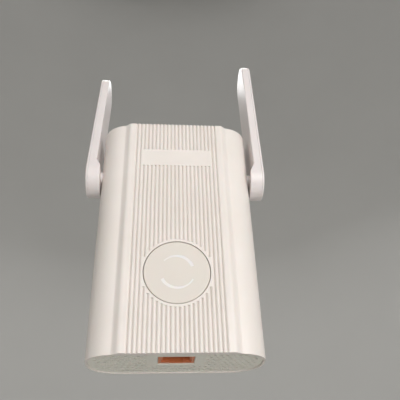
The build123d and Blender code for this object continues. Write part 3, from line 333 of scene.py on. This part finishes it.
def coax_jacket():
    # Black fluoropolymer jacket: slick, with a slow waviness from the extruder.
    material, tree, shader, place = start("fluoropolymer_jacket", 0.3, IOR=1.36)
    tone = drift(tree, place, linear("#1b1b1d"), linear("#29292c"), 4.0)
    tree.links.new(tone, shader.inputs["Base Color"])
    wave = add(tree, "TexNoise", {"Vector": place, "Scale": per_metre(2.0)})
    normal = relief(tree, wave.outputs["Fac"], 0.02, 0.4, soften_edges(tree, 0.1))
    tree.links.new(normal, shader.inputs["Normal"])
    return material


def lamp_resin():
    # Clear lens resin of the status lamps over a pale yellow phosphor.
    material, tree, shader, place = start("lamp_lens_resin", 0.12, IOR=1.5, Subsurface_Weight=0.3)
    shader.inputs["Subsurface Scale"].default_value = 0.5 * MM
    tone = drift(tree, place, linear("#e6e0b4"), linear("#f0edd6"), 0.8)
    tree.links.new(tone, shader.inputs["Base Color"])
    return material


# ---------------------------------------------------------------- metals
def worked_metal(name, colour, shade, roughness, mark_mm, stretch, edge_mm):
    """Bare or plated metal: fine marks drawn out in one direction, and duller and brighter patches."""
    material, tree, shader, place = start(name, roughness, Metallic=1.0)
    tone = drift(tree, place, linear(shade), linear(colour), 5.0)
    tree.links.new(tone, shader.inputs["Base Color"])
    turned = add(tree, "Mapping", {"Vector": place, "Scale": stretch})
    marks = add(tree, "TexNoise", {"Vector": turned.outputs[0], "Scale": per_metre(mark_mm), "Detail": 3.0})
    gloss = spread(tree, marks.outputs["Fac"], roughness - 0.07, roughness + 0.1)
    tree.links.new(gloss, shader.inputs["Roughness"])
    normal = relief(tree, marks.outputs["Fac"], 0.008, 0.35, soften_edges(tree, edge_mm))
    tree.links.new(normal, shader.inputs["Normal"])
    return material


def circuit_board(name, mask, copper):
    # Glass-epoxy board under green solder mask: tracks show as paler lines, with the weave faint beneath.
    material, tree, shader, place = start(name, 0.35, IOR=1.5, Coat_Weight=0.3)
    flat = add(tree, "Mapping", {"Vector": place, "Rotation": (math.radians(90), 0, 0)})
    tracks = add(
        tree, "TexBrick",
        {
            "Vector": flat.outputs[0], "Scale": per_metre(9.0), "Mortar Size": 0.028, "Mortar Smooth": 0.2,
            "Color1": linear(mask), "Color2": linear(mask), "Mortar": linear(copper),
        },
        offset=0.37, squash=1.4,
    )
    weave = add(tree, "TexChecker", {"Vector": place, "Scale": per_metre(0.8)})
    mixed = add(
        tree, "MixRGB",
        {"Fac": 0.05, "Color1": tracks.outputs["Color"], "Color2": weave.outputs["Color"]},
        blend_type="SOFT_LIGHT",
    )
    tree.links.new(mixed.outputs["Color"], shader.inputs["Base Color"])
    normal = relief(tree, tracks.outputs["Fac"], 0.03, 0.4, soften_edges(tree, 0.1))
    tree.links.new(normal, shader.inputs["Normal"])
    return material


def ferrite():
    # Sintered ferrite: dark grey ceramic with a slightly metallic, granular face.
    material, tree, shader, place = start("sintered_ferrite", 0.55, Metallic=0.3)
    tone = drift(tree, place, linear("#2b2b2e"), linear("#3d3d41"), 1.2)
    tree.links.new(tone, shader.inputs["Base Color"])
    grain = add(tree, "TexNoise", {"Vector": place, "Scale": per_metre(0.3), "Detail": 4.0})
    normal = relief(tree, grain.outputs["Fac"], 0.03, 0.6, soften_edges(tree, 0.2))
    tree.links.new(normal, shader.inputs["Normal"])
    return material


# ---------------------------------------------------------------- settings
class EXTENDER_PG_casing(bpy.types.PropertyGroup):
    colour: bpy.props.StringProperty(name="Colour", description="Casing resin, sRGB hex", default="#e8e0da")
    shade: bpy.props.StringProperty(
        name="Shade", description="Darker drift of the resin, sRGB hex", default="#e4dcd5")
    grain: bpy.props.FloatProperty(
        name="Grain", description="Size of the mould's grain, mm", default=0.35, min=0.05)
    roughness: bpy.props.FloatProperty(
        name="Roughness", description="How dull the casing is", default=0.36,
        min=0.05, max=1.0, subtype="FACTOR")
    # How strongly dust and painted shade darken the grooves.
    dust_and_shade: bpy.props.FloatProperty(
        name="Dust", description="Dust held in the grooves", default=0.06, min=0.0, max=1.0, subtype="FACTOR")


class EXTENDER_PG_button(bpy.types.PropertyGroup):
    colour: bpy.props.StringProperty(name="Colour", description="Button resin, sRGB hex", default="#dcd4cb")
    shade: bpy.props.StringProperty(
        name="Shade", description="Darker drift of the resin, sRGB hex", default="#d9d1c8")
    arc_colour: bpy.props.StringProperty(
        name="Arc colour", description="Light guides, sRGB hex", default="#efe8e4")
    roughness: bpy.props.FloatProperty(
        name="Roughness", description="How dull the button is", default=0.42,
        min=0.05, max=1.0, subtype="FACTOR")


class EXTENDER_PG_antennas(bpy.types.PropertyGroup):
    colour: bpy.props.StringProperty(name="Colour", description="Antenna resin, sRGB hex", default="#e5dddb")
    shade: bpy.props.StringProperty(
        name="Shade", description="Darker drift of the resin, sRGB hex", default="#e1d9d7")
    roughness: bpy.props.FloatProperty(
        name="Roughness", description="How dull the antennas are", default=0.33,
        min=0.05, max=1.0, subtype="FACTOR")


class EXTENDER_PG_port(bpy.types.PropertyGroup):
    colour: bpy.props.StringProperty(name="Colour", description="Socket resin, sRGB hex", default="#d98455")
    shade: bpy.props.StringProperty(
        name="Shade", description="Darker drift of the resin, sRGB hex", default="#cb7748")
    wire: bpy.props.FloatProperty(
        name="Wire", description="Radius of a contact spring", default=0.21 * MM, unit="LENGTH", precision=5)


class EXTENDER_PG_plug(bpy.types.PropertyGroup):
    body_colour: bpy.props.StringProperty(
        name="Body colour", description="Plug resin, sRGB hex", default="#dcd8d0")
    pin_colour: bpy.props.StringProperty(
        name="Pin colour", description="Pin plating, sRGB hex", default="#cfccc2")


class EXTENDER_PG_stage(bpy.types.PropertyGroup):
    floor_colour: bpy.props.StringProperty(
        name="Floor", description="Floor and backdrop, sRGB hex", default="#c9c8c5")
    floor_radius: bpy.props.FloatProperty(
        name="Floor radius", description="Radius of the flat floor", default=0.9, unit="LENGTH")
    floor_drop: bpy.props.FloatProperty(
        name="Floor drop", description="How far the floor lies below the origin", default=0.36, unit="LENGTH")
    camera_place: bpy.props.FloatVectorProperty(
        name="Camera place", description="Where the camera stands", default=(-0.0080, -0.2354, -0.1333),
        subtype="XYZ", unit="LENGTH", precision=4)
    camera_turn: bpy.props.FloatVectorProperty(
        name="Camera turn", description="The camera's turn about X, Y and Z",
        default=tuple(math.radians(a) for a in (123.28, 1.77, -4.40)), subtype="EULER", unit="ROTATION")
    lens: bpy.props.FloatProperty(name="Lens", description="Focal length, mm", default=43.7, min=10.0)
    key_power: bpy.props.FloatProperty(
        name="Key", description="Power of the key light", default=11.9, unit="POWER")
    fill_power: bpy.props.FloatProperty(
        name="Fill", description="Power of the fill light", default=1.2, unit="POWER")
    top_power: bpy.props.FloatProperty(
        name="Top", description="Power of the top light", default=7.0, unit="POWER")
    back_power: bpy.props.FloatProperty(
        name="Back", description="Power of the back light", default=6.5, unit="POWER")
    ambient: bpy.props.FloatProperty(name="Ambient", description="Strength of the world's light", default=0.3)


# ---------------------------------------------------------------- modelling helpers
def deselect():
    """Nothing is selected, in object mode."""
    if bpy.context.object and bpy.context.object.mode != "OBJECT":
        bpy.ops.object.mode_set(mode="OBJECT")
    bpy.ops.object.select_all(action="DESELECT")


def settle(piece, name, body, material):
    """Names a finished piece, puts its place into its mesh, and fixes it to its body."""
    deselect()
    piece.select_set(True)
    bpy.context.view_layer.objects.active = piece
    bpy.ops.object.transform_apply(location=True, rotation=True, scale=True)
    piece.name = name
    piece.data.name = name
    paint([piece], material)
    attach(piece, body)
    return piece


def pick(piece, test):
    """Selects, in edit mode, the vertices, edges and faces whose places pass a test."""
    bpy.ops.object.mode_set(mode="EDIT")
    bpy.ops.mesh.select_mode(type="VERT")
    bpy.ops.mesh.select_all(action="DESELECT")
    mesh = bmesh.from_edit_mesh(piece.data)
    for vertex in mesh.verts:
        vertex.select = test(vertex.co)
    mesh.select_flush(True)
    bmesh.update_edit_mesh(piece.data)


# ---------------------------------------------------------------- casing
class EXTENDER_OT_casing(bpy.types.Operator):
    """Finishes the two shells, the vent caps and the label"""
    bl_idname = "extender.casing"
    bl_label = "Casing"

    def execute(self, context):
        settings = context.scene.extender_casing
        paint(["front_shell", "rear_shell"], casing_abs(settings))
        paint(["bottom_vent_cap", "top_vent_cap"], cap_abs())
        paint(["rating_label"], label_vinyl())
        return {"FINISHED"}


class EXTENDER_OT_button(bpy.types.Operator):
    """Finishes the push button and its two light guides"""
    bl_idname = "extender.button"
    bl_label = "Push button"

    def execute(self, context):
        settings = context.scene.extender_button
        paint(["button_cap"], button_abs(settings))
        paint(["light_arcs"], arc_polycarbonate(settings))
        return {"FINISHED"}


class EXTENDER_OT_antennas(bpy.types.Operator):
    """Finishes both folding antennas"""
    bl_idname = "extender.antennas"
    bl_label = "Antennas"

    def execute(self, context):
        white = antenna_abs(context.scene.extender_antennas)
        for side in ("left", "right"):
            paint([f"antenna_inner_{side}", f"antenna_outer_{side}"], white)
        return {"FINISHED"}


class EXTENDER_OT_hinges(bpy.types.Operator):
    """Finishes the hinge clips, washers, radiator boards and leads"""
    bl_idname = "extender.hinges"
    bl_label = "Hinges and leads"

    def execute(self, context):
        # Bright spring steel clip, punched and polished by wear.
        spring = worked_metal("spring_steel", "#9b9ba0", "#84848a", 0.3, 0.3, (1, 1, 6), 0.1)
        # Natural nylon washer: waxy off-white.
        nylon = moulded_plastic("natural_nylon", "#d9d6cb", "#cdc9bb", 0.5, 0.008, 0.45, 0.1, IOR=1.53)
        board = circuit_board("radiator_board", "#1b4a2a", "#3a7a4c")
        jacket = coax_jacket()
        gold = worked_metal("gold_plated_brass", "#e0b45a", "#cf9f45", 0.22, 0.3, (1, 1, 1), 0.08)
        for side in ("left", "right"):
            paint([f"hinge_clip_{side}"], spring)
            paint([f"friction_washer_{side}"], nylon)
            paint([f"antenna_element_{side}"], board)
            paint([f"coax_lead_{side}"], jacket)
            paint([f"coax_plug_{side}"], gold)
        return {"FINISHED"}


class EXTENDER_OT_plug(bpy.types.Operator):
    """Finishes the mains plug, its pins and the casing screws"""
    bl_idname = "extender.plug"
    bl_label = "Mains plug"

    def execute(self, context):
        settings = context.scene.extender_plug
        paint(["plug_insert"], plug_polyamide(settings))
        # Nickel-plated brass pins, turned and rubbed bright along their length by sockets.
        nickel = worked_metal(
            "nickel_plated_brass", settings.pin_colour, "#bdb9ad", 0.2, 0.35, (8, 0.6, 8), 0.25)
        # Phosphor bronze strip behind each pin.
        bronze = worked_metal("phosphor_bronze", "#b98557", "#a4744a", 0.32, 0.3, (1, 1, 5), 0.08)
        for side in ("left", "right"):
            paint([f"plug_pin_{side}"], nickel)
            paint([f"pin_contact_{side}"], bronze)
        # Zinc-plated steel screws: bright, slightly blue, with a dull cross recess.
        zinc = worked_metal("zinc_plated_steel", "#b4b7ba", "#9c9fa3", 0.3, 0.25, (1, 1, 1), 0.12)
        paint(["shell_screws", "power_board_screws", "main_board_screws"], zinc)
        return {"FINISHED"}


def contact_centres():
    """X of each contact spring: eight, evenly spread over the contacts' own box."""
    low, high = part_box("ethernet_contacts")
    pitch = (high[0] - low[0]) / (CONTACTS - 1 + CONTACT_SHARE)
    first = low[0] + pitch * CONTACT_SHARE / 2
    return [first + index * pitch for index in range(CONTACTS)]


def contact_spring(centre, wire):
    """One round wire: straight along its comb, bent over at the mouth, and sprung back into the socket."""
    low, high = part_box("ethernet_contacts")
    root_y = low[1] + wire
    bend = WIRE_BEND * wire
    turn_z = low[2] + bend + wire
    deselect()
    bpy.ops.mesh.primitive_circle_add(
        vertices=WIRE_SIDES, radius=wire, fill_type="NGON", location=(centre, root_y, high[2]))
    spring = bpy.context.object
    bpy.ops.object.transform_apply(location=True, rotation=True, scale=True)
    pick(spring, lambda co: True)
    bpy.ops.mesh.extrude_region_move(TRANSFORM_OT_translate={"value": (0, 0, turn_z - high[2])})
    reach = WIRE_REACH * (high[2] - low[2])
    lean = math.atan2(reach, high[1] - root_y - 2 * bend)
    bpy.ops.mesh.spin(
        steps=WIRE_BEND_STEPS, angle=-math.pi / 2 - lean, center=(centre, root_y + bend, turn_z),
        axis=(1, 0, 0), dupli=False)
    run = (0, reach * math.cos(lean), reach * math.sin(lean))
    bpy.ops.mesh.extrude_region_move(TRANSFORM_OT_translate={"value": run})
    bpy.ops.mesh.select_all(action="SELECT")
    bpy.ops.mesh.remove_doubles(threshold=wire / WIRE_MERGE_PARTS)
    bpy.ops.mesh.normals_make_consistent(inside=False)
    bpy.ops.object.mode_set(mode="OBJECT")
    bpy.ops.object.shade_smooth_by_angle(angle=WIRE_SMOOTH_ANGLE)
    return spring


class EXTENDER_OT_port(bpy.types.Operator):
    """Finishes the network socket and its contacts"""
    bl_idname = "extender.port"
    bl_label = "Network port"

    def execute(self, context):
        settings = context.scene.extender_port
        paint(["ethernet_jack"], socket_plastic(settings))
        # Phosphor bronze springs flashed with gold: drawn wire, polished lengthwise.
        gold = worked_metal("gold_flashed_bronze", "#e3b75c", "#d2a348", 0.2, 0.3, (1, 1, 4), 0.02)
        springs = [contact_spring(centre, settings.wire) for centre in contact_centres()]
        deselect()
        for spring in springs:
            spring.select_set(True)
        bpy.context.view_layer.objects.active = springs[0]
        bpy.ops.object.join()
        contacts = settle(springs[0], "contact_springs", "housing", gold)
        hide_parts("ethernet_contacts")
        return {"FINISHED"}


class EXTENDER_OT_power_supply(bpy.types.Operator):
    """Finishes the mains power supply inside the back"""
    bl_idname = "extender.power_supply"
    bl_label = "Power supply"

    def execute(self, context):
        paint(["power_board"], circuit_board("power_circuit_board", "#1f5a33", "#3f8a56"))
        paint(["transformer_core"], ferrite())
        paint(["transformer_winding"], winding_tape())
        phenolic = black_moulding("phenolic_moulding", "#1d1d1e", 0.55)
        paint(["transformer_bobbin", "input_fuse"], phenolic)
        paint(["input_capacitors", "output_capacitor"], sleeve_pvc())
        paint(["rectifier", "power_controller"], black_moulding("epoxy_moulding_compound", "#1a1a1b", 0.6))
        # Dipped ceramic disc: glossy blue lacquer.
        blue = moulded_plastic("dipped_blue_lacquer", "#1f5fa8", "#184d8c", 0.8, 0.02, 0.25, 0.4, IOR=1.5)
        paint(["safety_capacitor"], blue)
        paint(["insulation_sheet"], insulating_film())
        return {"FINISHED"}


class EXTENDER_OT_main_board(bpy.types.Operator):
    """Finishes the radio board and what it carries"""
    bl_idname = "extender.main_board"
    bl_label = "Main board"

    def execute(self, context):
        paint(["main_board"], circuit_board("radio_circuit_board", "#17502c", "#2f7d49"))
        chips = black_moulding("chip_epoxy", "#19191a", 0.58)
        paint(["processor", "radio_chip", "memory_chip", "lan_transformer"], chips)
        nylon = black_moulding("glass_filled_nylon", "#202021", 0.5)
        paint(["board_header", "header_socket", "switch_plunger"], nylon)
        paint(["thermal_pads"], silicone_pad())
        # Extruded aluminium, sawn to length: fine lines along the fins.
        aluminium = worked_metal("extruded_aluminium", "#c3c5c7", "#adafb2", 0.35, 0.3, (5, 5, 0.5), 0.1)
        paint(["heat_sink"], aluminium)
        # Tinned steel can: soft grey shine with flow marks of the tin.
        tin = worked_metal("tinned_steel", "#b9b9b6", "#a3a3a0", 0.3, 0.6, (1, 1, 1), 0.12)
        paint(["radio_shield", "switch_body"], tin)
        paint(["status_lights"], lamp_resin())
        return {"FINISHED"}


# ---------------------------------------------------------------- stage
def backdrop(settings):
    """A round pale floor that curves up into a wall all round."""
    deselect()
    bpy.ops.mesh.primitive_circle_add(
        vertices=BACKDROP_SIDES, radius=settings.floor_radius, fill_type="NGON",
        location=(0, 0, -settings.floor_drop))
    floor = bpy.context.object
    for step in range(1, BACKDROP_BEND_STEPS + 2):
        turn = min(step / BACKDROP_BEND_STEPS, 1.0) * math.pi / 2
        reach = settings.floor_radius + BACKDROP_BEND * math.sin(turn)
        wall = BACKDROP_WALL if step > BACKDROP_BEND_STEPS else 0.0
        rise = BACKDROP_BEND * (1 - math.cos(turn)) + wall
        before = max(vertex.co.to_2d().length for vertex in floor.data.vertices)
        highest = max(vertex.co.z for vertex in floor.data.vertices)
        pick(floor, lambda co: co.z > highest - RIM_MARGIN and co.to_2d().length > before - RIM_MARGIN)
        bpy.ops.mesh.extrude_region_move(TRANSFORM_OT_translate={"value": (0, 0, rise - highest)})
        bpy.ops.transform.resize(value=(reach / before, reach / before, 1.0))
        bpy.ops.object.mode_set(mode="OBJECT")
    pick(floor, lambda co: True)
    bpy.ops.mesh.normals_make_consistent(inside=True)
    deselect()
    floor.select_set(True)
    bpy.context.view_layer.objects.active = floor
    bpy.ops.object.transform_apply(location=True, rotation=True, scale=True)
    bpy.ops.object.shade_smooth_by_angle(angle=BACKDROP_SMOOTH_ANGLE)
    floor.name = "floor"
    return floor


def floor_paper(settings):
    # Seamless studio paper: matt and pale, with a barely visible tooth.
    material, tree, shader, place = start("studio_paper", 0.9, IOR=1.45)
    base = linear(settings.floor_colour)
    darker = tuple(c * 0.97 for c in base[:3]) + (1.0,)
    tone = drift(tree, place, darker, base, 300.0)
    tree.links.new(tone, shader.inputs["Base Color"])
    return material


def light(name, place, aim, size, power, colour):
    """A soft square light that faces a point."""
    deselect()
    bpy.ops.object.light_add(type="AREA", location=place)
    lamp = bpy.context.object
    lamp.name = name
    lamp.data.shape = "SQUARE"
    lamp.data.size = size
    lamp.data.energy = power
    lamp.data.color = linear(colour)[:3]
    lamp.visible_camera = False
    lamp.rotation_euler = (Vector(aim) - Vector(place)).to_track_quat("-Z", "Y").to_euler()
    return lamp


class EXTENDER_OT_stage(bpy.types.Operator):
    """Sets the floor, the lights and the camera"""
    bl_idname = "extender.stage"
    bl_label = "Stage"

    def execute(self, context):
        settings = context.scene.extender_stage
        floor = backdrop(settings)
        paint([floor], floor_paper(settings))
        middle = (WHOLE[0] + WHOLE[1]) / 2
        for name, place, size, power in LIGHTS:
            light(name, place, middle, size, getattr(settings, power), LAMP_COLOUR)
        world = bpy.data.worlds.new("studio")
        world.use_nodes = True
        background = world.node_tree.nodes["Background"]
        background.inputs["Color"].default_value = linear(SKY_COLOUR)
        background.inputs["Strength"].default_value = settings.ambient
        context.scene.world = world
        bpy.ops.object.camera_add(location=settings.camera_place, rotation=settings.camera_turn)
        camera = bpy.context.object
        camera.name = "camera"
        camera.data.lens = settings.lens
        camera.data.sensor_width = SENSOR_MM
        camera.data.clip_start = CAMERA_NEAR
        camera.data.clip_end = CAMERA_FAR
        context.scene.camera = camera
        context.scene.view_settings.view_transform = "Standard"
        return {"FINISHED"}


# ---------------------------------------------------------------- panel and registration
SETTINGS = {
    "extender_casing": EXTENDER_PG_casing,
    "extender_button": EXTENDER_PG_button,
    "extender_antennas": EXTENDER_PG_antennas,
    "extender_port": EXTENDER_PG_port,
    "extender_plug": EXTENDER_PG_plug,
    "extender_stage": EXTENDER_PG_stage,
}
OPERATORS = [
    EXTENDER_OT_stage,
    EXTENDER_OT_casing,
    EXTENDER_OT_button,
    EXTENDER_OT_antennas,
    EXTENDER_OT_hinges,
    EXTENDER_OT_plug,
    EXTENDER_OT_port,
    EXTENDER_OT_power_supply,
    EXTENDER_OT_main_board,
]


class EXTENDER_PT_panel(bpy.types.Panel):
    """Lists the node's pieces and their settings"""
    bl_idname = "EXTENDER_PT_panel"
    bl_label = "Mesh node"
    bl_space_type = "VIEW_3D"
    bl_region_type = "UI"
    bl_category = "Mesh node"

    def draw(self, context):
        for operator in OPERATORS:
            self.layout.operator(operator.bl_idname, text=operator.bl_label)
        for name, group in SETTINGS.items():
            box = self.layout.box()
            box.label(text=name.replace("extender_", "").capitalize())
            for setting in group.__annotations__:
                box.prop(getattr(context.scene, name), setting)


def register():
    for group in SETTINGS.values():
        bpy.utils.register_class(group)
    for name, group in SETTINGS.items():
        setattr(bpy.types.Scene, name, bpy.props.PointerProperty(type=group))
    for operator in OPERATORS:
        bpy.utils.register_class(operator)
    bpy.utils.register_class(EXTENDER_PT_panel)


def unregister():
    bpy.utils.unregister_class(EXTENDER_PT_panel)
    for operator in reversed(OPERATORS):
        bpy.utils.unregister_class(operator)
    for name, group in SETTINGS.items():
        delattr(bpy.types.Scene, name)
        bpy.utils.unregister_class(group)


def main():
    register()
    for operator in OPERATORS:
        family, step = operator.bl_idname.split(".")
        getattr(getattr(bpy.ops, family), step)()


if __name__ == "__main__":
    main()
